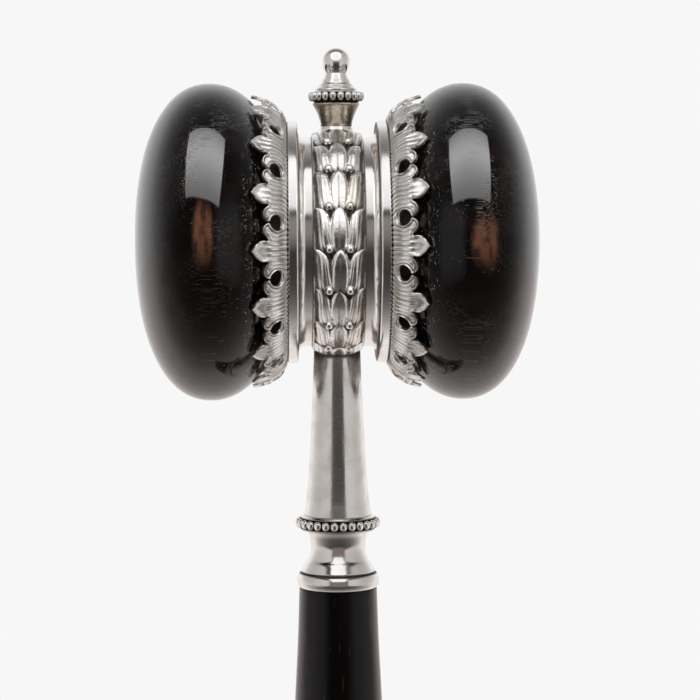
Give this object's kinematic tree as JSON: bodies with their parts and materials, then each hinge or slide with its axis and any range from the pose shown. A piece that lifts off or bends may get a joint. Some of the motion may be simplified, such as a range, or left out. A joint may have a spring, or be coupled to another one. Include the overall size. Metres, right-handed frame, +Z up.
{
  "type": "ceremonial gavel",
  "caption": "Ceremonial gavel with bun-shaped ebony cheeks on a chased silver mount, a turned finial and a long swelling ebony handle.",
  "frame": {"origin": "centre of the handle's flat butt, which the gavel stands on", "axes": "+Z up along the handle to the finial, +X along the striking axis to the right-hand cheek, -Y towards the viewer"},
  "size_m": [0.0962, 0.0756, 0.2547],
  "materials": {
    "ebony": "high gloss, fine scratches",
    "polished_silver": "polished, light wear",
    "chased_silver": "chased, dark in the recesses",
    "warm_silver": "polished, warm tarnish",
    "hardwood": "plain turned",
    "steel": "machined",
    "brass": "machined"
  },
  "bodies": {
    "root": {"left_cheek": "ebony", "right_cheek": "ebony", "handle": "ebony", "left_leaf_crown": "chased_silver", "right_leaf_crown": "chased_silver", "laurel_band": "chased_silver", "left_collar": "polished_silver", "right_collar": "polished_silver", "barrel_sleeve": "polished_silver", "finial_foot_ring": "polished_silver", "finial_vase": "warm_silver", "finial_bead_ring": "chased_silver", "finial_dome": "polished_silver", "finial_ball": "polished_silver", "socket_cone": "polished_silver", "socket_bead_ring": "chased_silver", "ferrule_waist": "polished_silver", "ferrule_base": "polished_silver", "core_block": "hardwood", "left_dowel_screw": "steel", "right_dowel_screw": "steel", "tie_rod": "steel", "finial_bush": "brass"}
  },
  "joints": []
}
